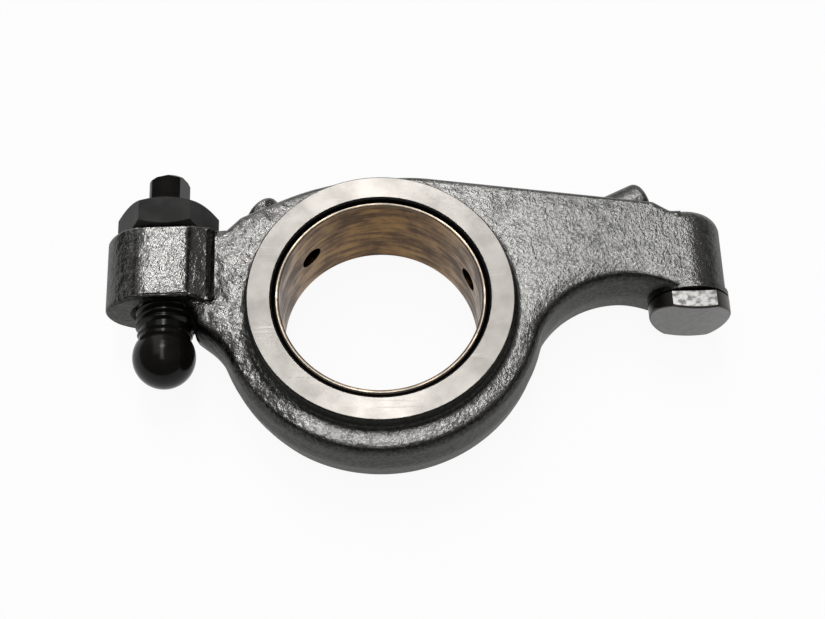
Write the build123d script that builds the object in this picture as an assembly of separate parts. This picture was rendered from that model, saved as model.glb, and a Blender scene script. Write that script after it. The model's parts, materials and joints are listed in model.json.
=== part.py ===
from build123d import *
import math
import os

# Forged rocker arm for a push-rod engine, with its bush, adjusting screw, lock nut and valve pad.
#
# Frame: the origin is on the rocker shaft's axis, midway along the hub. Z is the shaft's axis,
# X runs along the arm to the valve end, and Y points away from the push rod and the valve, so
# that the ball end and the valve pad both face -Y. Sizes are in millimetres, angles in degrees,
# and angles round the shaft are counted from +X.

# Hub and bush
bore_radius = 20.0            # for a 40 mm rocker shaft
bush_wall = 1.5
bush_length = 22.0
bush_inner_chamfer = 0.25
bush_outer_chamfer = 0.9
hub_width = 23.0              # over the two thrust faces
thrust_face_radius = 26.5
thrust_face_chamfer = 0.3
hub_mouth_chamfer = 0.35
hub_foot_round = 1.5          # where the thrust face stands up from the forging

# Outline of the forging at its parting plane. The hub's outline is set off from the bore, and
# the top lines of both arms would meet in a peak above it, which a long round takes away.
hub_radius = 33.0
hub_set_off = 1.1
peak = (-5.6, 31.87)
peak_round = 55.0
arm_top_slope = 8.8

# Forging
web_half_depth = 7.3          # half the depth of the forging, at the shaft
web_slope = 0.6               # the forging deepens towards the valve end
draft_angle = 5.0
edge_round = 1.5

# Short arm and adjuster boss
screw_offset = 43.5           # shaft axis to screw axis
nut_seat_height = 18.2        # nut seat above the shaft axis
adjuster_boss_length = 16.0
adjuster_boss_radius = 12.1
adjuster_boss_half_depth = 9.0   # half the distance over the boss's two flats
adjuster_boss_corner = 6.0    # round between the flats and the barrel
adjuster_boss_edge = 0.8
adjuster_boss_foot = 13.0     # from the screw axis to where the boss has run into the web
adjuster_boss_hollow = 3.0    # hollow round between the boss and the web
saddle_offset = 11.6          # from the screw axis to the end of the flat beside the nut
saddle_rise = 3.4             # there the web rises at 45 degrees to its top line
saddle_round = 2.5
adjuster_nose_gap = 4.5       # the web's underside stands down beside the screw, this far from the hub,
adjuster_nose_drop = 5.4      # by this much below the boss,
adjuster_nose_run = 1.9       # over this length,
adjuster_nose_round = 2.0
adjuster_nose_hollow = 3.0
adjuster_slope = 39.0         # and then slopes down to the hub
adjuster_crotch_round = 14.0

# Long arm and valve boss
pad_offset = 62.6             # shaft axis to pad axis
valve_boss_set_back = 0.3     # the boss stands a little nearer to the shaft than the pad
pad_seat_height = 1.8         # pad seat above the shaft axis
valve_boss_top = 20.1
valve_boss_edge = 3.5
pad_flange_radius = 8.15
pad_flange_depth = 1.5
pad_flange_edge = 0.25
arm_step_offset = 5.9         # the top line steps down to the valve boss, this far from its axis
arm_step_run = 3.2
arm_step_round = 1.5
arch_radius = 19.25           # hollow underside of the long arm
arch_top = 3.85               # its highest point, above the shaft axis
arch_bite = 0.28              # its circle and the hub's outline overlap by this much
valve_crotch_round = 10.0

# Oil drillings, radial to the shaft, each through a small boss on the forging
oil_hole_radius = 2.0
bush_oil_hole_radius = 2.5
oil_boss_radius = 4.0
oil_boss_edge = 1.5
oil_boss_foot = 1.0
adjuster_oil_angle = 134.4
adjuster_oil_stand = 2.5      # how far the boss's end stands beyond the arm's top line
valve_oil_angle = 25.0
valve_oil_stand = 6.3

# Adjusting screw and lock nut, M12 x 1.5, threads left plain
thread_radius = 6.0
thread_clearance = 0.05
thread_relief_radius = 5.2
thread_below_boss = 4.6
thread_above_nut = 0.6
thread_end_chamfer = 0.8
ball_radius = 6.35
ball_drop = 9.6               # ball centre below the boss
drive_across_flats = 7.1
drive_corner_radius = 4.25    # the corners of the square are turned to this
drive_turn = 19.5             # angle that the square stands at, round the screw
drive_length = 7.2
drive_end_chamfer = 0.5
screw_mouth_chamfer = 1.1
nut_across_flats = 18.0
nut_height = 6.5
nut_chamfer_angle = 30.0
nut_face_radius = 8.5         # the flat ring left by the chamfer
nut_mouth_chamfer = 0.5
nut_turn = 1.5

# Valve pad, pressed into the long arm
pad_radius = 8.2
pad_height = 4.35
pad_crown_radius = 25.0
pad_crown_offset = 1.0        # the crown's line lies this far beyond the pad's axis
pad_crown_edge = 0.5
pad_back_chamfer = 0.45
pad_flat_distance = 6.9
pad_stem_radius = 4.0
pad_stem_length = 9.0
pad_stem_chamfer = 0.6
pad_hole_spare = 1.0          # the hole is this much deeper than the stem

# Places and sizes that follow from the above
hub_bore_radius = bore_radius + bush_wall
boss_underside = nut_seat_height - adjuster_boss_length
web_rise = math.tan(math.radians(web_slope))
valve_boss_offset = pad_offset - valve_boss_set_back
valve_boss_radius = web_half_depth + web_rise * valve_boss_offset
arm_step = valve_boss_offset - arm_step_offset
arm_fall = (arm_step - peak[0]) * math.tan(math.radians(arm_top_slope))
step = (arm_step, peak[1] - arm_fall)
saddle = (saddle_offset - screw_offset, nut_seat_height)
brow = (saddle[0] + saddle_rise, saddle[1] + saddle_rise)
nose = (-hub_radius - adjuster_nose_gap, boss_underside - adjuster_nose_drop)
nose_foot = (nose[0] - adjuster_nose_run, boss_underside)
web_end = -screw_offset - thread_radius
arch_height = arch_top - arch_radius
arch_spacing = hub_radius + arch_radius - arch_bite
arch_centre = (math.sqrt(arch_spacing**2 - (hub_set_off - arch_height) ** 2), arch_height)
shank_radius = thread_radius - thread_clearance
ball_centre_height = boss_underside - ball_drop
shank_top = nut_seat_height + nut_height + thread_above_nut
pad_face_height = pad_seat_height - pad_height
beyond = 2 * (pad_offset + hub_radius)   # longer than any cut has to be


def up_y(x, y):
    """The plane square to Y at (x, y), with its own Z axis along +Y."""
    return Plane(origin=(x, y, 0), x_dir=(1, 0, 0), z_dir=(0, 1, 0))


def outward(angle, radius):
    """The plane that faces out from the shaft at this angle, at this radius."""
    direction = Vector(1, 0, 0).rotate(Axis.Z, angle)
    return Plane(origin=direction * radius, x_dir=(0, 0, 1), z_dir=direction)


def round_corner(plan, corner, radius):
    """Round the corner of a plan that lies nearest to the point given."""
    corners = plan.vertices().sort_by(lambda v: math.dist((v.X, v.Y), corner))
    return fillet(corners[0], radius)


def turned(points, x):
    """A body turned about the line along Y at x, from (radius, height) points."""
    outline = Polyline(*[(x + radius, height) for radius, height in points], close=True)
    return revolve(make_face(outline), Axis((x, 0, 0), (0, 1, 0)))


def arms_plan():
    """Both arms: straight top lines, and undersides that run into the hub."""
    slope_run = hub_radius / 2
    slope_fall = slope_run * math.tan(math.radians(adjuster_slope))
    outline = Polyline(
        peak,
        brow,
        saddle,
        (web_end, nut_seat_height),
        (web_end, boss_underside),
        nose_foot,
        nose,
        (nose[0] + slope_run, nose[1] - slope_fall),
        (0, 0),
        arch_centre,
        (valve_boss_offset, arch_height),
        (valve_boss_offset, valve_boss_top),
        (arm_step + arm_step_run, valve_boss_top),
        step,
        close=True,
    )
    plan = make_face(outline) - Pos(*arch_centre) * Circle(arch_radius)
    plan = round_corner(plan, step, arm_step_round)
    plan = round_corner(plan, (arm_step + arm_step_run, valve_boss_top), arm_step_round)
    plan = round_corner(plan, nose_foot, adjuster_nose_hollow)
    plan = round_corner(plan, nose, adjuster_nose_round)
    plan = round_corner(plan, saddle, saddle_round)
    plan = round_corner(plan, brow, saddle_round)
    return round_corner(plan, peak, peak_round)


def forging_plan():
    """Outline of the forging at its parting plane."""
    lower_half = Pos(0, -hub_radius) * Rectangle(beyond, 2 * hub_radius)
    hub = Pos(0, hub_set_off) * Circle(hub_radius) & lower_half
    plan = arms_plan() + hub
    plan = round_corner(plan, (-hub_radius, -hub_radius / 4), adjuster_crotch_round)
    return round_corner(plan, (hub_radius, -hub_radius / 3), valve_crotch_round)


def web_depth_envelope():
    """Both broad sides of the forging, which spread apart towards the valve end."""
    left = web_half_depth - web_rise * beyond
    right = web_half_depth + web_rise * beyond
    corners = [(-beyond, left), (beyond, right), (beyond, -right), (-beyond, -left)]
    return extrude(Plane.XZ * make_face(Polyline(*corners, close=True)), beyond, both=True)


def web():
    """Hub and both arms as one flat forging, drafted from the parting plane and rounded."""
    half = extrude(forging_plan(), adjuster_boss_half_depth)
    flats = half.faces().filter_by(Axis.Z)
    half = draft(half.faces() - flats, Plane.XY, draft_angle)
    blank = (half + mirror(half, Plane.XY)) & web_depth_envelope()
    below_seat = extrude(up_y(valve_boss_offset, pad_seat_height) * Circle(arch_radius), -beyond)
    blank = blank - below_seat
    faces = blank.faces().sort_by(Axis.Z)
    return fillet(faces[0].edges() + faces[-1].edges(), edge_round)


def with_hub(blank):
    """The two raised thrust faces, each with a hollow round at its foot."""
    ring = extrude(Circle(thrust_face_radius), hub_width / 2, both=True)
    ring = chamfer(ring.edges().filter_by(GeomType.CIRCLE), thrust_face_chamfer)
    joined = blank + ring
    feet = new_edges(blank, ring, combined=joined)
    return fillet(feet, hub_foot_round)


def adjuster_boss():
    """Barrel round the screw, dressed flat on both sides and flowing into the web."""
    barrel = Circle(adjuster_boss_radius) & Rectangle(beyond, 2 * adjuster_boss_half_depth)
    barrel = fillet(barrel.vertices(), adjuster_boss_corner)
    foot_half_depth = web_half_depth - web_rise * screw_offset
    foot = Pos(adjuster_boss_foot / 2, 0) * Rectangle(adjuster_boss_foot, 2 * foot_half_depth)
    meeting = adjuster_boss_radius - adjuster_boss_corner / 2
    section = barrel + foot
    section = round_corner(section, (meeting, foot_half_depth), adjuster_boss_hollow)
    section = round_corner(section, (meeting, -foot_half_depth), adjuster_boss_hollow)
    boss = extrude(up_y(-screw_offset, boss_underside) * section, adjuster_boss_length)
    faces = boss.faces().sort_by(Axis.Y)
    return fillet(faces[0].edges() + faces[-1].edges(), adjuster_boss_edge)


def valve_boss():
    """Full-round end of the long arm, with the flange that the pad seats on."""
    height = valve_boss_top - pad_seat_height
    barrel = extrude(up_y(valve_boss_offset, pad_seat_height) * Circle(valve_boss_radius), height)
    barrel = fillet(barrel.edges().sort_by(Axis.Y)[-1], valve_boss_edge)
    flange = extrude(up_y(pad_offset, pad_seat_height) * Circle(pad_flange_radius), pad_flange_depth)
    return barrel + chamfer(flange.edges().sort_by(Axis.Y)[-1], pad_flange_edge)


def distance_to_line(angle, start, end):
    """How far from the shaft axis a ray at this angle crosses the line through two points."""
    ray = Vector(1, 0, 0).rotate(Axis.Z, angle)
    line = Vector(*end) - Vector(*start)
    return Vector(*start).cross(line).Z / ray.cross(line).Z


def with_oil_boss(body, angle, reach):
    """A short round boss that stands out from the forging along an oil drilling."""
    start = outward(angle, hub_bore_radius)
    boss = extrude(start * Circle(oil_boss_radius), reach - hub_bore_radius)
    outer_end = boss.edges().filter_by(GeomType.CIRCLE).sort_by(lambda e: e.center().length)[-1]
    boss = fillet(outer_end, oil_boss_edge)
    joined = body + boss
    foot = new_edges(body, boss, combined=joined)
    return fillet(foot, oil_boss_foot)


def oil_drilling(angle, reach, radius):
    """The bore of one oil drilling, from inside the shaft bore outwards."""
    start = bore_radius / 2
    return extrude(outward(angle, start) * Circle(radius), reach - start + oil_boss_radius)


def shaft_bore():
    """Bore for the bush, chamfered at both mouths."""
    half = hub_width / 2
    mouth = hub_bore_radius + hub_mouth_chamfer
    points = [
        (0, 0),
        (hub_bore_radius, 0),
        (hub_bore_radius, half - hub_mouth_chamfer),
        (mouth, half),
        (mouth, hub_width),
        (0, hub_width),
    ]
    upper = revolve(make_face(Plane.XZ * Polyline(*points, close=True)), Axis.Z)
    return upper + mirror(upper, Plane.XY)


def screw_hole():
    """Tapped hole for the adjusting screw, countersunk underneath and clear below."""
    mouth = thread_radius + screw_mouth_chamfer
    points = [
        (0, beyond),
        (thread_radius, beyond),
        (thread_radius, boss_underside + screw_mouth_chamfer),
        (mouth, boss_underside),
        (mouth, -beyond),
        (0, -beyond),
    ]
    return turned(points, -screw_offset)


def pad_hole():
    """Blind hole for the stem of the pad."""
    depth = pad_stem_length + pad_hole_spare
    return extrude(up_y(pad_offset, pad_seat_height) * Circle(pad_stem_radius), depth)


def arm_forging():
    body = with_hub(web()) + valve_boss()
    valve_reach = distance_to_line(valve_oil_angle, peak, step) + valve_oil_stand
    adjuster_reach = distance_to_line(adjuster_oil_angle, peak, brow) + adjuster_oil_stand
    body = with_oil_boss(body, valve_oil_angle, valve_reach)
    body = with_oil_boss(body, adjuster_oil_angle, adjuster_reach)
    body = body + adjuster_boss()
    body = body - shaft_bore() - screw_hole() - pad_hole()
    body = body - oil_drilling(adjuster_oil_angle, adjuster_reach, oil_hole_radius)
    return body - oil_drilling(valve_oil_angle, valve_reach, oil_hole_radius)


def bush():
    """Steel-backed bronze bush, drilled to match the two oil drillings."""
    half = bush_length / 2
    points = [
        (bore_radius, 0),
        (hub_bore_radius, 0),
        (hub_bore_radius, half - bush_outer_chamfer),
        (hub_bore_radius - bush_outer_chamfer, half),
        (bore_radius + bush_inner_chamfer, half),
        (bore_radius, half - bush_inner_chamfer),
    ]
    upper = revolve(make_face(Plane.XZ * Polyline(*points, close=True)), Axis.Z)
    ring = upper + mirror(upper, Plane.XY)
    ring = ring - oil_drilling(adjuster_oil_angle, hub_bore_radius, bush_oil_hole_radius)
    return ring - oil_drilling(valve_oil_angle, hub_bore_radius, bush_oil_hole_radius)


def adjusting_screw():
    """Ball end, relieved neck, threaded shank and square drive, in one turned piece."""
    shank_start = boss_underside - thread_below_boss
    relief = shank_radius - thread_relief_radius
    points = [
        (0, ball_centre_height),
        (thread_relief_radius, ball_centre_height),
        (thread_relief_radius, shank_start - relief),
        (shank_radius, shank_start),
        (shank_radius, shank_top - thread_end_chamfer),
        (shank_radius - thread_end_chamfer, shank_top),
        (0, shank_top),
    ]
    shank = turned(points, -screw_offset)
    ball = Pos(-screw_offset, ball_centre_height, 0) * Sphere(ball_radius)
    top = up_y(-screw_offset, shank_top)
    drive = extrude(top * Circle(drive_corner_radius), drive_length)
    drive = chamfer(drive.edges().sort_by(Axis.Y)[-1], drive_end_chamfer)
    flats = Rot(0, 0, -drive_turn) * Rectangle(drive_across_flats, drive_across_flats)
    square = extrude(top * flats, drive_length)
    return shank + ball + (drive & square)


def lock_nut():
    """Thin hexagon nut, chamfered on both faces."""
    seat = up_y(-screw_offset, nut_seat_height)
    hexagon = RegularPolygon(nut_across_flats / 2, 6, major_radius=False, rotation=nut_turn)
    blank = extrude(seat * hexagon, nut_height)
    fall = math.tan(math.radians(nut_chamfer_angle))
    corner = nut_across_flats
    drop = (corner - nut_face_radius) * fall
    low = nut_seat_height
    high = nut_seat_height + nut_height
    envelope = turned(
        [(0, low), (nut_face_radius, low), (corner, low + drop), (corner, high - drop),
         (nut_face_radius, high), (0, high)],
        -screw_offset,
    )
    mouth = thread_radius + nut_mouth_chamfer
    hole = turned(
        [(0, low), (mouth, low), (thread_radius, low + nut_mouth_chamfer),
         (thread_radius, high - nut_mouth_chamfer), (mouth, high), (0, high)],
        -screw_offset,
    )
    return (blank & envelope) - hole


def valve_pad():
    """Hardened pad: a stem, and a head with a face crowned along the shaft's axis."""
    seat = up_y(pad_offset, pad_seat_height)
    head = extrude(seat * Circle(pad_radius), -pad_height)
    crown_centre = (pad_offset + pad_crown_offset, pad_face_height + pad_crown_radius)
    head = head & Pos(*crown_centre) * Cylinder(pad_crown_radius, beyond)
    head = head & Box(beyond, beyond, 2 * pad_flat_distance)
    head = fillet(head.faces().sort_by(Axis.Y)[0].edges(), pad_crown_edge)
    head = chamfer(head.faces().sort_by(Axis.Y)[-1].edges(), pad_back_chamfer)
    stem = extrude(seat * Circle(pad_stem_radius), pad_stem_length)
    return head + chamfer(stem.edges().sort_by(Axis.Y)[-1], pad_stem_chamfer)


def main():
    os.makedirs("parts", exist_ok=True)
    nodes = {
        "arm_forging": arm_forging(),
        "bush": bush(),
        "adjusting_screw": adjusting_screw(),
        "lock_nut": lock_nut(),
        "valve_pad": valve_pad(),
    }
    for name, solid in nodes.items():
        export_step(solid, f"parts/{name}.step")


main()
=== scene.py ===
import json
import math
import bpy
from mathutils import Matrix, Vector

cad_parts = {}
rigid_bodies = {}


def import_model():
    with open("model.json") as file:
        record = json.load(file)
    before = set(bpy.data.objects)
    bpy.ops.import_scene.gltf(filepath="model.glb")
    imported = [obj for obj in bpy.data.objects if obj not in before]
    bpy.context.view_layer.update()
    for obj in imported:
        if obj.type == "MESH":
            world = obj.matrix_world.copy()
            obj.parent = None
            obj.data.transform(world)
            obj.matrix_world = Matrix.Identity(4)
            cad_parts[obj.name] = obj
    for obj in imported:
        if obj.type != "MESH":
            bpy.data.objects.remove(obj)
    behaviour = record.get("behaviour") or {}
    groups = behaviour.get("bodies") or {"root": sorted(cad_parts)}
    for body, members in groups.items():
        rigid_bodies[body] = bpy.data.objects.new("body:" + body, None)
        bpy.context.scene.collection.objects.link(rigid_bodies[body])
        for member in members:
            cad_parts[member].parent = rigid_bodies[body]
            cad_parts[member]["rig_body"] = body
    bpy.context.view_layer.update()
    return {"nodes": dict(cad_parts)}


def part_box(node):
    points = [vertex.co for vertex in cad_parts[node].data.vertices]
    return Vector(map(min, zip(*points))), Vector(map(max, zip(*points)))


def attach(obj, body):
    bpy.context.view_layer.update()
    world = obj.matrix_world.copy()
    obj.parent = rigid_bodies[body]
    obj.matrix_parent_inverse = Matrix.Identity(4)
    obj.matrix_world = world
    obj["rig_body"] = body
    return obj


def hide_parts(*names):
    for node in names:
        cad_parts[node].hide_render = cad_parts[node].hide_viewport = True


bl_info = {
    "name": "Rocker arm finish",
    "version": (1, 0, 0),
    "blender": (4, 5, 0),
    "location": "View3D > Sidebar > Rocker arm",
    "description": "Finishes the pieces of a forged rocker arm and sets its stage",
    "category": "Object",
}

import bmesh
import bpy
from mathutils import Matrix, Vector
from mathutils.kdtree import KDTree

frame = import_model()

MM = 0.001
SMOOTH_ANGLE = math.radians(32)   # edges that turn more than this stay crisp
MERGE_DISTANCE = 0.002 * MM
FACE_MARGIN = 0.05 * MM   # a face this close to a plane lies on it
FLAT_NORMAL = 0.9998   # a face whose normal has more than this of Z lies square to it
STEPS_PER_TURN = 40   # faces of the thread in one turn
FULL_SHARE = 0.35   # share of the lamp's spread over which it has its full strength
FLOOR_SIZE = 12.0
FLOOR_GAP = 0.02 * MM   # the floor lies this far under the part

# Where the arm's surface, and the light and shade painted on it, change along its length, from the
# bore's axis.
COARSE_MARKS = (-22 * MM, -8 * MM)   # the short arm's coarse marks give way to finer ones
PAINTED_SHADE_END = (16 * MM, 42 * MM)   # painted shade darkens the long arm's faces over this stretch
PAINTED_LIGHT_BOSS = (-34 * MM, -38 * MM)   # the boss of the screw begins, which gets painted light

# The seam between the web and the pad's round boss.
SEAM_START = 3.2 * MM   # it starts this far before the pad's axis
SEAM_END = 0.3 * MM   # and ends this far before it
SEAM_LOW = 3 * MM   # its lower end, above the bore's axis
SEAM_DROP = 12.3 * MM   # its upper end, below the highest place of the forging
SEAM_FLOOR = 7.2 * MM   # what lies nearer than this to the middle plane stays as it is

# The boss of the adjusting screw.
BOSS_REACH = 9.2 * MM   # from the screw's axis to its side at the hub
BOSS_LOW = 2.1 * MM   # its lower end, above the bore's axis
BOSS_SLOPE = 0.36   # how steeply its flats lean back
BOSS_STEP = 1 * MM   # its flats are this much wider towards the hub
LIP_FADE = 2 * MM   # its lower lip dies out this far inside the web's faces

# The web's edges, which its soft shoulders follow.
RIM_CLEAR = 2.5 * MM   # they lie more than this outside the thrust face
RIM_END = 4.5 * MM   # they end this far before the pad's axis
RIM_STEP = 0.5 * MM   # spacing of the places noted along them
RING_FOOT = 1.2 * MM   # the web stays level this far round the thrust face
RIM_REACH = (4 * MM, 2.2 * MM)   # what lies this far from an edge stays, or moves with it

# The shoulders, from the bore's axis: deeper under the short arm, slight along the top line.
DEEP_X, DEEP_Y = (-14 * MM, -24 * MM), (8 * MM, 0.0)
DEEP_WIDTH, DEEP_FALL = 1.6, 2.5   # times the width and the depth elsewhere
TOP_X, TOP_Y = (0.0, 10 * MM), (8 * MM, 14 * MM)
TOP_FALL = 0.4   # times the depth elsewhere
RUN_OUT = (5 * MM, 14 * MM)   # they run out before the pad's axis

nodes = frame["nodes"]
forging_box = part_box("arm_forging")
bush_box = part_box("bush")
screw_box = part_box("adjusting_screw")
nut_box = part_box("lock_nut")
pad_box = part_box("valve_pad")


def middle(box):
    """Middle of a box."""
    return (box[0] + box[1]) / 2


# ---------------------------------------------------------------- settings


def colour(name, description, default):
    """A colour setting."""
    return bpy.props.FloatVectorProperty(
        name=name, description=description, subtype="COLOR", size=3, min=0, max=1, default=default
    )


def length(name, description, default):
    """A length setting, in metres."""
    return bpy.props.FloatProperty(
        name=name, description=description, subtype="DISTANCE", unit="LENGTH", precision=5,
        default=default,
    )


def share(name, description, default):
    """A setting from 0 to 1."""
    return bpy.props.FloatProperty(
        name=name, description=description, subtype="FACTOR", min=0, max=1, default=default
    )


def number(name, description, default):
    """A setting from 0 up."""
    return bpy.props.FloatProperty(name=name, description=description, min=0, default=default)


def angle(name, description, default):
    """An angle setting, in radians."""
    return bpy.props.FloatProperty(
        name=name, description=description, subtype="ANGLE", unit="ROTATION", default=default
    )


def position(name, description, default):
    """A place, in metres."""
    return bpy.props.FloatVectorProperty(
        name=name, description=description, subtype="TRANSLATION", unit="LENGTH", precision=5,
        default=default,
    )


def light_edges(name, description, default):
    """Where two opposite edges of a light overhead lie, as one part of a direction."""
    return bpy.props.FloatVectorProperty(
        name=name, description=description, size=2, default=default
    )


class ForgingSettings(bpy.types.PropertyGroup):
    face_colour: colour("Face", "Shot-blasted broad faces", (0.25, 0.245, 0.237))
    # Its darkness is painted shade on the sides and hollow rounds, which face away from the light
    # overhead.
    side_shade_colour: colour("Side", "Sides and hollow rounds", (0.052, 0.052, 0.047))
    ground_colour: colour("Ground", "Ground thrust faces", (0.345, 0.326, 0.302))
    # Also the colour towards which painted shade darkens the long arm.
    pit_and_shade_colour: colour("Pits", "Pits and scale left in the grain", (0.12, 0.12, 0.116))
    grain_size: length("Grain", "Size of the blasting marks", 1.5 * MM)
    grain_depth: length("Grain depth", "Depth of the blasting marks", 0.52 * MM)
    thrust_radius: length("Thrust face", "Outer radius of the thrust faces", 26.5 * MM)
    web_half_depth: length("Web", "Half the depth of the web at the bore's axis", 7.3 * MM)
    web_rise: number(
        "Web rise", "Slope of the web towards the valve end", math.tan(math.radians(0.6))
    )
    boss_half_depth: length("Boss", "Half the depth of the screw's boss over its flats", 9.0 * MM)
    flat_half_width: length("Flat", "Half the width of the boss's flats", 3.5 * MM)
    lip_top: length("Lip", "Height at which the boss's flats begin to fall to their lip", 6.2 * MM)
    lip_depth: length("Lip depth", "How far the flats fall to their lip", 1.6 * MM)
    round_radius: length("Round", "Round along the web's edges", 1.5 * MM)
    shoulder_width: length("Shoulder", "Width of the soft fall at the web's edges", 3.2 * MM)
    shoulder_depth: length("Shoulder depth", "How far the web falls to its edges", 0.45 * MM)
    grid: length("Grid", "Spacing of the broad faces' grid", 1.0 * MM)


class BushSettings(bpy.types.PropertyGroup):
    bronze_colour: colour("Bronze", "Bored face", (0.20, 0.102, 0.020))
    stain_colour: colour("Stain", "Oil stains on the bored face", (0.06, 0.026, 0.005))
    bore_radius: length("Bore", "Radius of the bored face", 20.0 * MM)


class ScrewSettings(bpy.types.PropertyGroup):
    oxide_colour: colour("Oxide", "Blackened steel", (0.005, 0.0045, 0.004))
    pitch: length("Pitch", "Rise of the thread in one turn", 1.5 * MM)
    thread_depth: length("Thread depth", "Depth of the thread", 0.78 * MM)
    thread_radius: length("Thread radius", "Outer radius of the thread", 5.95 * MM)
    thread_foot: length("Thread foot", "From the ball's tip to the thread's lower end", 11.35 * MM)


class NutSettings(bpy.types.PropertyGroup):
    oxide_colour: colour("Oxide", "Blackened steel", (0.016, 0.0155, 0.015))


class PadSettings(bpy.types.PropertyGroup):
    dark_colour: colour("Side", "Hardened side of the pad", (0.07, 0.065, 0.06))
    flat_colour: colour("Flat", "Ground flats", (0.43, 0.425, 0.41))
    face_colour: colour("Face", "Ground crown", (0.18, 0.18, 0.177))


class StageSettings(bpy.types.PropertyGroup):
    floor_colour: colour("Floor", "Plain floor", (0.93, 0.93, 0.93))
    floor_glow: share("Floor glow", "How much of the floor's white stays in shadow", 0.93)
    room_level: number("Room", "Light from near the horizon", 0.17)
    sky_level: number("Sky", "Light from overhead", 0.22)
    box_level: number("Softbox", "Light from the long softbox overhead", 1.2)
    box_across: light_edges("Softbox across", "X of its two long edges", (-0.38, -0.11))
    box_along: light_edges("Softbox along", "Y of its two short edges", (0.0, 0.85))
    box_softness: number("Softbox softness", "How far its light takes to fade at an edge", 0.22)
    strip_level: number("Strip", "Light from the narrow strip along the softbox", 4.2)
    strip_across: light_edges("Strip across", "X of its two long edges", (-0.05, 0.03))
    strip_along: light_edges("Strip along", "Y of its two short edges", (-0.4, 0.66))
    strip_softness: number("Strip softness", "How far its light takes to fade at an edge", 0.09)
    lamp_level: number("Lamp", "Extra light from the lamp between them", 8.0)
    lamp_direction: bpy.props.FloatVectorProperty(
        name="Lamp direction", description="Where the lamp stands", subtype="DIRECTION",
        default=(0.0, 0.36, 0.933),
    )
    lamp_spread: angle("Lamp spread", "From its middle to where its light ends", math.radians(9))
    camera_place: position(
        "Camera", "Place of the camera", (-0.87 * MM, -142.05 * MM, 306.93 * MM)
    )
    camera_target: position(
        "Target", "What the camera points at", (6.15 * MM, -3.46 * MM, 11.5 * MM)
    )
    camera_roll: angle("Roll", "Turn of the camera about its line of sight", math.radians(1.2))
    focal_length: bpy.props.FloatProperty(
        name="Focal length", description="Focal length for a 36 mm sensor", unit="CAMERA",
        default=72.97,
    )


# ---------------------------------------------------------------- node helpers


def place_node(tree, kind, inputs=None, **settings):
    """Adds a node, and gives its inputs values or links."""
    node = tree.nodes.new(kind)
    for name, value in settings.items():
        setattr(node, name, value)
    for name, value in (inputs or {}).items():
        socket = node.inputs[name]
        if isinstance(value, bpy.types.NodeSocket):
            tree.links.new(value, socket)
        else:
            socket.default_value = value
    return node


def calc(tree, operation, first, second=0.0):
    """A Math node's output."""
    node = place_node(tree, "ShaderNodeMath", {0: first, 1: second}, operation=operation)
    return node.outputs[0]


def add(tree, *values):
    """The sum of several values."""
    total = values[0]
    for value in values[1:]:
        total = calc(tree, "ADD", total, value)
    return total


def times(tree, *values):
    """The product of several values."""
    total = values[0]
    for value in values[1:]:
        total = calc(tree, "MULTIPLY", total, value)
    return total


def ramp(tree, value, start, end, low=0.0, high=1.0):
    """A smooth step of a value, from low at start to high at end."""
    return place_node(
        tree, "ShaderNodeMapRange",
        {"Value": value, "From Min": start, "From Max": end, "To Min": low, "To Max": high},
        interpolation_type="SMOOTHSTEP",
    ).outputs["Result"]


def shaded(colour, factor):
    """A colour made lighter or darker."""
    return [part * factor for part in colour]


def blend(tree, mask, first, second):
    """A mix of two colours."""
    first, second = (
        colour if isinstance(colour, bpy.types.NodeSocket) else (*colour, 1.0)
        for colour in (first, second)
    )
    return place_node(
        tree, "ShaderNodeMix", {0: mask, 6: first, 7: second}, data_type="RGBA"
    ).outputs[2]


def noise(tree, coordinates, size, detail=2.0, roughness=0.5, stretch=None):
    """Noise with features of about this size, in metres."""
    if stretch is not None:
        coordinates = place_node(
            tree, "ShaderNodeMapping", {"Vector": coordinates, "Scale": stretch}
        ).outputs["Vector"]
    return place_node(
        tree, "ShaderNodeTexNoise",
        {"Vector": coordinates, "Scale": 1.0 / size, "Detail": detail, "Roughness": roughness},
    ).outputs["Fac"]


def new_group(name, inputs, outputs):
    """A shader node group with these sockets, and its input and output sockets."""
    group = bpy.data.node_groups.new(name, "ShaderNodeTree")
    for socket, kind, default in inputs:
        made = group.interface.new_socket(socket, in_out="INPUT", socket_type=kind)
        if default is not None:
            made.default_value = default
    for socket, kind in outputs:
        group.interface.new_socket(socket, in_out="OUTPUT", socket_type=kind)
    given = group.nodes.new("NodeGroupInput").outputs
    return group, given, group.nodes.new("NodeGroupOutput").inputs


def use_group(tree, group, inputs):
    """The outputs of a node group, placed in a material."""
    return place_node(tree, "ShaderNodeGroup", inputs, node_tree=group).outputs


def new_material(name):
    """A new metal material: itself, its tree, its shader and its coordinates."""
    material = bpy.data.materials.new(name)
    material.use_nodes = True
    tree = material.node_tree
    shader = tree.nodes["Principled BSDF"]
    shader.inputs["Metallic"].default_value = 1.0
    where = place_node(tree, "ShaderNodeTexCoord").outputs
    return material, tree, shader, where


def axes_of(tree, vector):
    """The three parts of a vector."""
    return place_node(tree, "ShaderNodeSeparateXYZ", {"Vector": vector}).outputs


def radius_of(tree, x, y):
    """Distance from the bore's axis."""
    return calc(tree, "SQRT", add(tree, times(tree, x, x), times(tree, y, y)))


def finish_surface(tree, shader, colour, rough, height, depth, strength=1.0):
    """Links a colour, a roughness and a bump to a shader."""
    tree.links.new(colour, shader.inputs["Base Color"])
    tree.links.new(rough, shader.inputs["Roughness"])
    bump = place_node(
        tree, "ShaderNodeBump", {"Height": height, "Distance": depth, "Strength": strength}
    )
    tree.links.new(bump.outputs["Normal"], shader.inputs["Normal"])


# ---------------------------------------------------------------- shared effects


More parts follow.
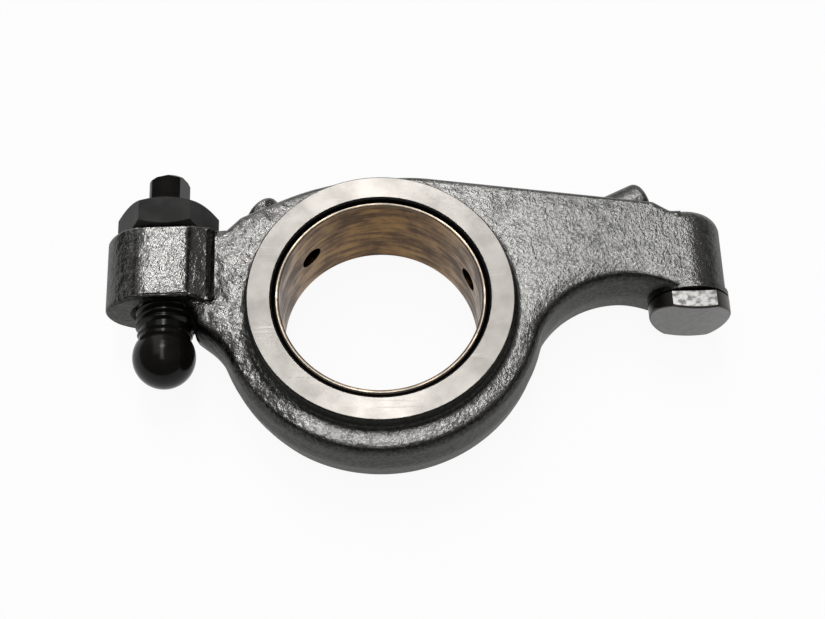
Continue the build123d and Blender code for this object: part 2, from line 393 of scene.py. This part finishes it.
def blasted_grain():
    """Height of shot-blasting marks: grain over soft waves."""
    group, given, put = new_group(
        "Blasted Grain",
        [("Vector", "NodeSocketVector", None), ("Scale", "NodeSocketFloat", 1000.0),
         ("Waves", "NodeSocketFloat", 1.0)],
        [("Height", "NodeSocketFloat")],
    )
    grain = place_node(
        group, "ShaderNodeTexNoise",
        {"Vector": given["Vector"], "Scale": given["Scale"], "Detail": 3.0, "Roughness": 0.55},
    ).outputs["Fac"]
    wide = times(group, given["Scale"], 0.3)
    waves = place_node(
        group, "ShaderNodeTexNoise", {"Vector": given["Vector"], "Scale": wide, "Detail": 1.0}
    ).outputs["Fac"]
    group.links.new(add(group, grain, times(group, waves, given["Waves"])), put["Height"])
    return group


def fine_scratches():
    """Mask of thin, nearly straight scratches that lie three ways, in patches."""
    group, given, put = new_group(
        "Fine Scratches",
        [("Vector", "NodeSocketVector", None), ("Scale", "NodeSocketFloat", 300.0),
         ("Amount", "NodeSocketFloat", 0.5)],
        [("Mask", "NodeSocketFloat")],
    )
    total = None
    for turn in (0.4, 1.5, 2.6):
        turned = place_node(
            group, "ShaderNodeMapping",
            {"Vector": given["Vector"], "Rotation": (0.2, 0.3 * turn, turn),
             "Scale": (0.045, 1.0, 1.0)},
        ).outputs["Vector"]
        lines = place_node(
            group, "ShaderNodeTexNoise",
            {"Vector": turned, "Scale": given["Scale"], "Detail": 1.0, "Roughness": 0.4},
        ).outputs["Fac"]
        away = calc(group, "ABSOLUTE", calc(group, "SUBTRACT", lines, 0.62))
        thin = ramp(group, away, 0.0, 0.010, 1.0, 0.0)
        total = thin if total is None else calc(group, "MAXIMUM", total, thin)
    wide = times(group, given["Scale"], 0.4)
    patches = place_node(
        group, "ShaderNodeTexNoise", {"Vector": given["Vector"], "Scale": wide}
    ).outputs["Fac"]
    total = times(group, total, ramp(group, patches, 0.45, 0.65), given["Amount"])
    group.links.new(total, put["Mask"])
    return group


def build_groups():
    """The effects that are built once and then placed in the finishes, by name."""
    return {"grain": blasted_grain(), "scratches": fine_scratches()}


groups = {}


# ---------------------------------------------------------------- finishes


def forging_marks(tree, place, along, settings):
    """Heights of the small blasting marks, and of all of them: coarser on the short arm."""
    coarse, small = (
        use_group(
            tree, groups["grain"],
            {"Vector": place, "Scale": marks / settings.grain_size, "Waves": waves},
        )["Height"]
        for marks, waves in ((0.8, 1.3), (2.3, 1.0))
    )
    short_arm = ramp(tree, along, *COARSE_MARKS, 1.0, 0.0)
    small_share = ramp(tree, short_arm, 0.0, 1.0, 0.34, 0.16)
    return small, add(tree, times(tree, coarse, short_arm, 1.25), times(tree, small, small_share))


def forging_faces(tree, place, along, small, settings):
    """Colour of the broad faces: pitted in patches, with painted shade towards the pad and painted
    light on the boss.
    """
    clouds = noise(tree, place, 9 * MM, 3.0)
    shade = blend(tree, ramp(tree, small, 0.80, 1.02), settings.pit_and_shade_colour, settings.face_colour)
    shade = blend(tree, ramp(tree, clouds, 0.35, 0.7), shade, settings.face_colour)
    # Painted shade: the long arm's faces darken towards the pad.
    shade = blend(tree, ramp(tree, along, *PAINTED_SHADE_END, 0.0, 0.55), shade, settings.pit_and_shade_colour)
    # Painted light: a lighter copy of the face colour on the screw's boss.
    bright = blend(tree, 0.6, shade, shaded(settings.face_colour, 1.25))
    return blend(tree, ramp(tree, along, *PAINTED_LIGHT_BOSS), shade, bright)


def forged_steel(settings):
    """Shot-blasted forging, with duller sides and painted shade on its sides and hollow rounds."""
    material, tree, shader, where = new_material("forged_steel")
    place = where["Object"]
    along = axes_of(tree, place)[0]
    facing = calc(tree, "ABSOLUTE", axes_of(tree, where["Normal"])[2])
    small, marks = forging_marks(tree, place, along, settings)
    fine = noise(tree, place, 0.25 * MM, 2.0)

    faces = forging_faces(tree, place, along, small, settings)
    specks = noise(tree, place, 0.7 * MM, 4.0, 0.7)
    sides = blend(
        tree, ramp(tree, specks, 0.35, 0.65),
        shaded(settings.side_shade_colour, 0.62), shaded(settings.side_shade_colour, 1.3),
    )
    # Painted shade: faces that turn away from Z, the sides and hollow rounds, take the darker side
    # colour.
    colour = blend(tree, ramp(tree, facing, 0.80, 0.98), sides, faces)
    rough = add(tree, ramp(tree, facing, 0.3, 0.9, 0.42, 0.19), times(tree, fine, 0.12))
    strength = ramp(tree, facing, 0.2, 0.95, 0.34, 1.0)
    height = add(tree, times(tree, marks, strength), times(tree, fine, 0.10))
    finish_surface(tree, shader, colour, rough, height, settings.grain_depth)
    return material


def ground_steel(settings):
    """Thrust face, ground in circles: its gloss spreads along the radius."""
    material, tree, shader, where = new_material("ground_steel")
    place = where["Object"]
    x, y, _ = axes_of(tree, place)
    marks = use_group(
        tree, groups["scratches"], {"Vector": place, "Scale": 260.0, "Amount": 0.7}
    )["Mask"]
    clouds = noise(tree, place, 6 * MM, 4.0, 0.6)
    fine = noise(tree, place, 0.3 * MM, 2.0)
    dull = shaded(settings.ground_colour, 0.86)
    ring = blend(tree, ramp(tree, clouds, 0.35, 0.7), settings.ground_colour, dull)
    ring = blend(tree, marks, ring, shaded(settings.ground_colour, 1.3))
    rough = add(tree, 0.30, add(tree, times(tree, clouds, 0.12), times(tree, fine, 0.10)))
    height = calc(tree, "SUBTRACT", times(tree, fine, 0.3), marks)
    finish_surface(tree, shader, ring, rough, height, 0.015 * MM)
    radial = place_node(tree, "ShaderNodeCombineXYZ", {"X": x, "Y": y, "Z": 0.0}).outputs[0]
    radial = place_node(
        tree, "ShaderNodeVectorMath", {0: radial}, operation="NORMALIZE"
    ).outputs[0]
    tree.links.new(radial, shader.inputs["Tangent"])
    shader.inputs["Anisotropic"].default_value = 0.9
    return material


def bearing_bronze(settings):
    """Bored bronze with brown oil streaks, a painted highlight on its end and a dark outer edge.
    """
    material, tree, shader, where = new_material("bearing_bronze")
    place = where["Object"]
    x, y, z = axes_of(tree, place)
    radius = radius_of(tree, x, y)
    bore = settings.bore_radius
    around = place_node(
        tree, "ShaderNodeCombineXYZ",
        {"X": times(tree, calc(tree, "ARCTAN2", y, x), bore), "Y": times(tree, z, 2.2), "Z": 0.0},
    ).outputs[0]

    broad = noise(tree, place, 9 * MM, 5.0, 0.62)
    streaks = noise(tree, around, 5 * MM, 5.0, 0.65, stretch=(0.5, 1.4, 1.0))
    stain = ramp(tree, times(tree, add(tree, broad, streaks), 0.5), 0.38, 0.58)
    shade = blend(tree, stain, settings.bronze_colour, settings.stain_colour)
    # The bush's end: a painted highlight, with a dark line round it, and dark again at its outer
    # edge.
    top = bush_box[1].z
    end = ramp(tree, calc(tree, "ABSOLUTE", z), top - 0.3 * MM, top - 0.22 * MM)
    off_line = calc(tree, "ABSOLUTE", calc(tree, "SUBTRACT", radius, bore + 0.32 * MM))
    end = times(tree, end, ramp(tree, off_line, 0.04 * MM, 0.1 * MM, 0.2, 1.0))
    shade = blend(tree, end, shade, (0.34, 0.30, 0.25))
    outer = ramp(tree, radius, bore + 0.85 * MM, bore + 1.0 * MM)
    shade = blend(tree, outer, shade, (0.02, 0.02, 0.026))

    rough = add(tree, 0.24, times(tree, stain, 0.22))
    lay = noise(tree, around, 0.6 * MM, 2.0, 0.5, stretch=(0.05, 1.0, 1.0))
    finish_surface(tree, shader, shade, rough, lay, 0.012 * MM, 0.6)
    return material


def blackened_steel(name, oxide, roughness, gloss, grain_depth):
    """Blackened steel: a thin coat of oxide with a soft sheen."""
    material, tree, shader, where = new_material(name)
    place = where["Object"]
    fine = noise(tree, place, 0.4 * MM, 3.0)
    clouds = noise(tree, place, 5 * MM, 3.0)
    shade = blend(tree, ramp(tree, clouds, 0.4, 0.75), oxide, shaded(oxide, 2.2))
    rough = add(tree, roughness, times(tree, fine, 0.15))
    finish_surface(tree, shader, shade, rough, fine, grain_depth, 0.7)
    shader.inputs["Metallic"].default_value = 0.0
    shader.inputs["Specular IOR Level"].default_value = gloss
    return material


def scuffed(tree, scuffs, low, high, colour, darkest):
    """A colour that dirt darkens, as far as this share of it, where the scuffs are low."""
    return blend(tree, ramp(tree, scuffs, low, high), shaded(colour, darkest), colour)


def hardened_pad(settings):
    """Hardened pad: dark turned side, bright ground flats and a satin crown."""
    material, tree, shader, where = new_material("pad_steel")
    place = where["Object"]
    _, facing_y, facing_z = axes_of(tree, where["Normal"])
    fine = noise(tree, place, 0.3 * MM, 3.0)
    scuffs = noise(tree, place, 1.1 * MM, 4.0, 0.65)
    flats = scuffed(tree, scuffs, 0.38, 0.6, settings.flat_colour, 0.32)
    crown = scuffed(tree, scuffs, 0.3, 0.7, settings.face_colour, 0.8)
    on_flats = ramp(tree, calc(tree, "ABSOLUTE", facing_z), 0.994, 0.999)
    shade = blend(tree, on_flats, settings.dark_colour, flats)
    shade = blend(tree, ramp(tree, facing_y, -0.80, -0.93), shade, crown)
    shade = blend(tree, times(tree, ramp(tree, fine, 0.5, 0.75), 0.25), shade, (0.2, 0.2, 0.2))
    rough = add(tree, 0.28, times(tree, fine, 0.2))
    finish_surface(tree, shader, shade, rough, fine, 0.02 * MM, 0.6)
    return material


# ---------------------------------------------------------------- pieces


def finish_piece(piece, node, material):
    """Gives a new piece its finish, and lets it stand for its CAD node."""
    piece.data.materials.clear()
    piece.data.materials.append(material)
    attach(piece, nodes[node]["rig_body"])
    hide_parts(node)


def welded_copy(node, name, change=None):
    """A smooth copy of a CAD node, its loose triangles welded together, and then changed."""
    mesh = bpy.data.meshes.new(name)
    shape = bmesh.new()
    shape.from_mesh(nodes[node].data)
    bmesh.ops.remove_doubles(shape, verts=shape.verts, dist=MERGE_DISTANCE)
    bmesh.ops.dissolve_degenerate(shape, edges=shape.edges, dist=MERGE_DISTANCE / 4)
    if change is not None:
        change(shape)
    for face in shape.faces:
        face.smooth = True
    for edge in shape.edges:
        if not edge.is_manifold or edge.calc_face_angle(0.0) > SMOOTH_ANGLE:
            edge.smooth = False
    shape.to_mesh(mesh)
    shape.free()
    piece = bpy.data.objects.new(name, mesh)
    bpy.context.scene.collection.objects.link(piece)
    weights = piece.modifiers.new("Weighted normals", "WEIGHTED_NORMAL")
    weights.keep_sharp = True
    weights.weight = 100
    return piece


def fade(value, start, end):
    """A soft step of a value, from 0 at start to 1 at end."""
    part = max(0.0, min(1.0, (value - start) / (end - start)))
    return part * part * (3 - 2 * part)


def web_height(settings, x):
    """Half the depth of the flat web at this place along the arm."""
    return settings.web_half_depth + settings.web_rise * x


def close_seam(shape, settings):
    """Brings the web's end level with the pad's round boss, so that no groove lies between."""
    pad_x = middle(pad_box).x
    for vertex in shape.verts:
        x, y, z = vertex.co
        along_seam = pad_x - SEAM_START < x < pad_x - SEAM_END
        if along_seam and SEAM_LOW < y < forging_box[1].y - SEAM_DROP and abs(z) > SEAM_FLOOR:
            vertex.co.z = math.copysign(web_height(settings, x), z)


def on_screw_boss(x, y):
    """Whether this place lies on the boss of the adjusting screw."""
    return x < middle(screw_box).x + BOSS_REACH and y > BOSS_LOW


def is_flat(face, settings):
    """Whether this face lies on a broad flat of the web or of the screw's boss."""
    centre = face.calc_center_median()
    off_web = abs(abs(centre.z) - web_height(settings, centre.x))
    off_boss = abs(abs(centre.z) - settings.boss_half_depth)
    return abs(face.normal.z) > FLAT_NORMAL and min(off_web, off_boss) < FACE_MARGIN


def rim_places(shape, settings):
    """Places along the web's own edges, where its marked flats end."""
    places = []
    for edge in shape.edges:
        flats = sum(face.material_index for face in edge.link_faces)
        start, end = (vertex.co for vertex in edge.verts)
        centre = (start + end) / 2
        off_ring = centre.xy.length > settings.thrust_radius + RIM_CLEAR
        on_web = abs(centre.z) < settings.boss_half_depth - 5 * FACE_MARGIN
        before_pad = centre.x < middle(pad_box).x - RIM_END
        if flats == 1 and off_ring and on_web and before_pad:
            steps = max(1, math.ceil(edge.calc_length() / RIM_STEP))
            places += [start.lerp(end, step / steps) for step in range(steps + 1)]
    return places


def cut_grid(shape, settings):
    """Cuts the marked flats along a grid, so that they can bend."""
    low, high = forging_box
    for axis, normal in enumerate((Vector((1, 0, 0)), Vector((0, 1, 0)))):
        lines = (math.ceil(end[axis] / settings.grid) for end in (low, high))
        for line in range(*lines):
            at = line * settings.grid
            faces = [
                face for face in shape.faces
                if face.material_index == 1
                and min(v.co[axis] for v in face.verts) < at < max(v.co[axis] for v in face.verts)
            ]
            edges = {edge for face in faces for edge in face.edges}
            corners = {vertex for face in faces for vertex in face.verts}
            bmesh.ops.bisect_plane(
                shape, geom=faces + list(edges) + list(corners), dist=MERGE_DISTANCE,
                plane_co=normal * at, plane_no=normal,
            )


def shoulder_fall(x, y, distance, settings):
    """How far the web has fallen this near its edge, as a share of the shoulder's depth."""
    deep = fade(x, *DEEP_X) * fade(y, *DEEP_Y)
    width = settings.shoulder_width * (1 + (DEEP_WIDTH - 1) * deep)
    fall = max(0.0, 1 - distance / width) ** 2 * (1 + (DEEP_FALL - 1) * deep)
    slight = fade(x, *TOP_X) * fade(y, *TOP_Y)
    return fall * (1 - (1 - TOP_FALL) * slight) * fade(middle(pad_box).x - x, *RUN_OUT)


def soften_shoulders(shape, rim, settings):
    """Lets the web fall softly to its edges, as it leaves a worn die."""
    tree = KDTree(len(rim))
    for index, place in enumerate(rim):
        tree.insert((place.x, place.y, 0), index)
    tree.balance()
    for vertex in shape.verts:
        x, y, z = vertex.co
        top = web_height(settings, x)
        near_ring = math.hypot(x, y) < settings.thrust_radius + RING_FOOT
        if near_ring or on_screw_boss(x, y) or abs(z) > top + FACE_MARGIN:
            continue
        distance = tree.find((x, y, 0))[2]
        share_moved = 1.0
        if abs(z) < top - MERGE_DISTANCE:
            # On the round or the side: it follows the web's edge, and far from one stays.
            round_low = top - settings.round_radius
            on_round = fade(abs(z), round_low - 0.1 * settings.round_radius, round_low)
            share_moved = max(fade(distance, *RIM_REACH), on_round)
            share_moved *= min(1.0, abs(z) / round_low)
            distance = -min(distance, settings.round_radius)
        fall = shoulder_fall(x, y, distance, settings) * share_moved
        vertex.co.z = math.copysign(abs(z) - settings.shoulder_depth * fall, z)


def bevel_boss(shape, settings):
    """Leans both sides of the screw boss's flats back, and rounds their lower lip."""
    screw_x = middle(screw_box).x
    foot = web_height(settings, screw_x)
    top = settings.boss_half_depth
    for vertex in shape.verts:
        x, y, z = vertex.co
        if not on_screw_boss(x, y):
            continue
        outer = max(0.0, screw_x - x - settings.flat_half_width) * min(1.0, abs(z) / top)
        inner = max(0.0, x - screw_x - settings.flat_half_width - BOSS_STEP)
        inner *= max(0.0, min(1.0, (abs(z) - foot) / (top - foot)))
        lip = settings.lip_depth * max(0.0, (settings.lip_top - y) / settings.lip_top) ** 2
        lip *= fade(abs(z), foot - LIP_FADE, top)
        vertex.co.z = math.copysign(abs(z) - BOSS_SLOPE * (outer + inner) - lip, z)


def form_forging(shape, settings):
    """Closes the seam at the pad's boss, softens the shoulders and leans the screw's boss back."""
    close_seam(shape, settings)
    shape.normal_update()
    # The material index marks the flats, since it lasts on both halves of a face that is cut.
    for face in shape.faces:
        face.material_index = 1 if is_flat(face, settings) else 0
    rim = rim_places(shape, settings)
    cut_grid(shape, settings)
    for face in shape.faces:
        face.material_index = 0
    soften_shoulders(shape, rim, settings)
    bevel_boss(shape, settings)
    shape.normal_update()


class ROCKER_OT_forging(bpy.types.Operator):
    """Finish the forging"""

    bl_idname = "rocker.forging"
    bl_label = "Forging"

    def execute(self, context):
        settings = context.scene.rocker_forging
        piece = welded_copy(
            "arm_forging", "forged_arm", lambda shape: form_forging(shape, settings)
        )
        finish_piece(piece, "arm_forging", forged_steel(settings))
        piece.data.materials.append(ground_steel(settings))
        thrust_height = forging_box[1].z - FACE_MARGIN
        for face in piece.data.polygons:
            flat = abs(face.center.z) > thrust_height
            if flat and face.center.xy.length < settings.thrust_radius:
                face.material_index = 1
        return {"FINISHED"}


class ROCKER_OT_bush(bpy.types.Operator):
    """Finish the bearing bush"""

    bl_idname = "rocker.bush"
    bl_label = "Bush"

    def execute(self, context):
        piece = welded_copy("bush", "bearing_bush")
        material = bearing_bronze(context.scene.rocker_bush)
        finish_piece(piece, "bush", material)
        return {"FINISHED"}


def cut_to_root(shape, axis_x, settings):
    """Brings the plain shank down to the root of its thread, and returns its two ends."""
    root = settings.thread_radius - settings.thread_depth
    foot = screw_box[0].y + settings.thread_foot - FACE_MARGIN
    heights = []
    for vertex in shape.verts:
        across = Vector((vertex.co.x - axis_x, vertex.co.z))
        if vertex.co.y > foot and abs(across.length - settings.thread_radius) < FACE_MARGIN:
            across = across.normalized() * root
            vertex.co.x = axis_x + across.x
            vertex.co.z = across.y
            heights.append(vertex.co.y)
    return min(heights), max(heights)


def wind_thread(shape, axis_x, low, high, settings):
    """One closed ridge that winds up the shank."""
    root = settings.thread_radius - settings.thread_depth - FACE_MARGIN
    crest = settings.thread_radius
    pitch = settings.pitch
    # The ridge's corners: their radius, and their height as a share of the pitch.
    section = [(root, -0.47), (crest, -0.08), (crest, 0.08), (root, 0.47)]
    corners = [shape.verts.new((axis_x + r, low + pitch * (0.5 + h), 0)) for r, h in section]
    start = shape.faces.new(corners)
    turns = (high - low) / pitch - 1
    steps = round(turns * STEPS_PER_TURN)
    before = set(shape.faces) - {start}
    bmesh.ops.spin(
        shape, geom=[start], cent=(axis_x, 0, 0), axis=(0, 1, 0), angle=2 * math.pi * turns,
        dvec=(0, (high - low - pitch) / steps, 0), steps=steps,
    )
    ridge = [face for face in shape.faces if face not in before]
    bmesh.ops.holes_fill(shape, edges=[edge for edge in shape.edges if edge.is_boundary], sides=4)
    bmesh.ops.recalc_face_normals(shape, faces=ridge)


class ROCKER_OT_screw(bpy.types.Operator):
    """Finish the adjusting screw"""

    bl_idname = "rocker.screw"
    bl_label = "Adjusting screw"

    def execute(self, context):
        settings = context.scene.rocker_screw
        axis_x = middle(screw_box).x

        def add_thread(shape):
            low, high = cut_to_root(shape, axis_x, settings)
            wind_thread(shape, axis_x, low, high, settings)

        piece = welded_copy("adjusting_screw", "ball_screw", add_thread)
        material = blackened_steel("black_steel", settings.oxide_colour, 0.10, 0.17, 0.006 * MM)
        finish_piece(piece, "adjusting_screw", material)
        return {"FINISHED"}


class ROCKER_OT_nut(bpy.types.Operator):
    """Finish the lock nut"""

    bl_idname = "rocker.nut"
    bl_label = "Lock nut"

    def execute(self, context):
        piece = welded_copy("lock_nut", "hexagon_nut")
        settings = context.scene.rocker_nut
        material = blackened_steel("nut_steel", settings.oxide_colour, 0.36, 0.11, 0.02 * MM)
        finish_piece(piece, "lock_nut", material)
        return {"FINISHED"}


class ROCKER_OT_pad(bpy.types.Operator):
    """Finish the valve pad"""

    bl_idname = "rocker.pad"
    bl_label = "Valve pad"

    def execute(self, context):
        piece = welded_copy("valve_pad", "hard_pad")
        material = hardened_pad(context.scene.rocker_pad)
        finish_piece(piece, "valve_pad", material)
        return {"FINISHED"}


# ---------------------------------------------------------------- stage


def stage_floor(settings):
    """A wide plain floor that keeps its white in shadow, for the camera and for gloss."""
    level = min(box[0].z for box in (forging_box, bush_box, screw_box, nut_box, pad_box))
    shape = bmesh.new()
    bmesh.ops.create_grid(shape, x_segments=1, y_segments=1, size=FLOOR_SIZE)
    bmesh.ops.translate(shape, verts=shape.verts, vec=(0, 0, level - FLOOR_GAP))
    mesh = bpy.data.meshes.new("floor")
    shape.to_mesh(mesh)
    shape.free()
    floor = bpy.data.objects.new("floor", mesh)
    bpy.context.scene.collection.objects.link(floor)
    material = bpy.data.materials.new("floor")
    material.use_nodes = True
    tree = material.node_tree
    shader = tree.nodes["Principled BSDF"]
    shader.inputs["Base Color"].default_value = (*settings.floor_colour, 1.0)
    shader.inputs["Roughness"].default_value = 0.9
    shader.inputs["Specular IOR Level"].default_value = 0.0
    rays = place_node(tree, "ShaderNodeLightPath").outputs
    seen = calc(tree, "MAXIMUM", rays["Is Camera Ray"], rays["Is Glossy Ray"])
    seen = calc(tree, "MAXIMUM", seen, rays["Is Transmission Ray"])
    white = place_node(
        tree, "ShaderNodeEmission", {"Color": (1, 1, 1, 1), "Strength": 1.0}
    ).outputs[0]
    mixed = place_node(
        tree, "ShaderNodeMixShader",
        {0: times(tree, seen, settings.floor_glow), 1: shader.outputs[0], 2: white},
    ).outputs[0]
    tree.links.new(mixed, tree.nodes["Material Output"].inputs["Surface"])
    mesh.materials.append(material)


def lamp(tree, direction, towards, spread, level):
    """Light from round one direction, which fades out over the outer part of its spread."""
    near = place_node(
        tree, "ShaderNodeVectorMath", {0: direction, 1: Vector(towards).normalized()},
        operation="DOT_PRODUCT",
    ).outputs["Value"]
    return ramp(tree, near, math.cos(spread), math.cos(spread * FULL_SHARE), 0.0, level)


def softbox(tree, direction, across, along, softness, level):
    """Light of a long softbox overhead, soft at its four edges."""
    x, y, up = axes_of(tree, direction)
    light = ramp(tree, up, 0.0, 0.2, 0.0, level)
    for value, (low, high) in ((x, across), (y, along)):
        rise = ramp(tree, value, low - softness, low)
        fall = ramp(tree, value, high, high + softness, 1.0, 0.0)
        light = times(tree, light, rise, fall)
    return light


def stage_light(settings):
    """A dim room with a softbox, a narrow strip and a lamp overhead."""
    world = bpy.data.worlds.new("studio")
    bpy.context.scene.world = world
    world.use_nodes = True
    tree = world.node_tree
    direction = place_node(tree, "ShaderNodeTexCoord").outputs["Generated"]
    up = axes_of(tree, direction)[2]
    room = ramp(tree, up, 0.1, 0.85, settings.room_level, settings.sky_level)
    strip = softbox(
        tree, direction, settings.strip_across, settings.strip_along,
        settings.strip_softness, settings.strip_level,
    )
    box = softbox(
        tree, direction, settings.box_across, settings.box_along,
        settings.box_softness, settings.box_level,
    )
    spot = lamp(
        tree, direction, settings.lamp_direction, settings.lamp_spread, settings.lamp_level
    )
    background = tree.nodes["Background"]
    background.inputs["Color"].default_value = (1, 1, 1, 1)
    tree.links.new(add(tree, room, strip, box, spot), background.inputs["Strength"])


def stage_camera(settings):
    """The camera, rolled about its line of sight."""
    data = bpy.data.cameras.new("camera")
    data.lens = settings.focal_length
    data.sensor_width = 36.0
    data.clip_start = 1 * MM
    data.clip_end = 60.0
    camera = bpy.data.objects.new("camera", data)
    bpy.context.scene.collection.objects.link(camera)
    place = Vector(settings.camera_place)
    sight = Vector(settings.camera_target) - place
    turn = sight.to_track_quat("-Z", "Y").to_matrix().to_4x4()
    roll = Matrix.Rotation(settings.camera_roll, 4, "Z")
    camera.matrix_world = Matrix.Translation(place) @ turn @ roll
    bpy.context.scene.camera = camera


class ROCKER_OT_stage(bpy.types.Operator):
    """Set the floor, the light and the camera"""

    bl_idname = "rocker.stage"
    bl_label = "Stage"

    def execute(self, context):
        settings = context.scene.rocker_stage
        stage_floor(settings)
        stage_light(settings)
        stage_camera(settings)
        context.scene.view_settings.view_transform = "Standard"
        return {"FINISHED"}


# ---------------------------------------------------------------- panel and registration


class ROCKER_PT_panel(bpy.types.Panel):
    """Lists the steps and their settings"""

    bl_idname = "ROCKER_PT_panel"
    bl_label = "Rocker arm"
    bl_space_type = "VIEW_3D"
    bl_region_type = "UI"
    bl_category = "Rocker arm"

    def draw(self, context):
        layout = self.layout
        for operator, name, group in STEPS:
            box = layout.box()
            box.operator(operator.bl_idname)
            for setting in group.__annotations__:
                box.prop(getattr(context.scene, name), setting)


# Each step of the work: its operator, and the name and kind of its settings.
STEPS = (
    (ROCKER_OT_forging, "rocker_forging", ForgingSettings),
    (ROCKER_OT_bush, "rocker_bush", BushSettings),
    (ROCKER_OT_screw, "rocker_screw", ScrewSettings),
    (ROCKER_OT_nut, "rocker_nut", NutSettings),
    (ROCKER_OT_pad, "rocker_pad", PadSettings),
    (ROCKER_OT_stage, "rocker_stage", StageSettings),
)


def register():
    """Registers the settings, the steps and the panel."""
    for operator, name, group in STEPS:
        bpy.utils.register_class(group)
        setattr(bpy.types.Scene, name, bpy.props.PointerProperty(type=group))
        bpy.utils.register_class(operator)
    bpy.utils.register_class(ROCKER_PT_panel)


def unregister():
    """Takes all of it away again."""
    bpy.utils.unregister_class(ROCKER_PT_panel)
    for operator, name, group in reversed(STEPS):
        bpy.utils.unregister_class(operator)
        delattr(bpy.types.Scene, name)
        bpy.utils.unregister_class(group)


def main():
    """Runs every step."""
    register()
    groups.update(build_groups())
    bpy.ops.rocker.forging()
    bpy.ops.rocker.bush()
    bpy.ops.rocker.screw()
    bpy.ops.rocker.nut()
    bpy.ops.rocker.pad()
    bpy.ops.rocker.stage()


if __name__ == "__main__":
    main()
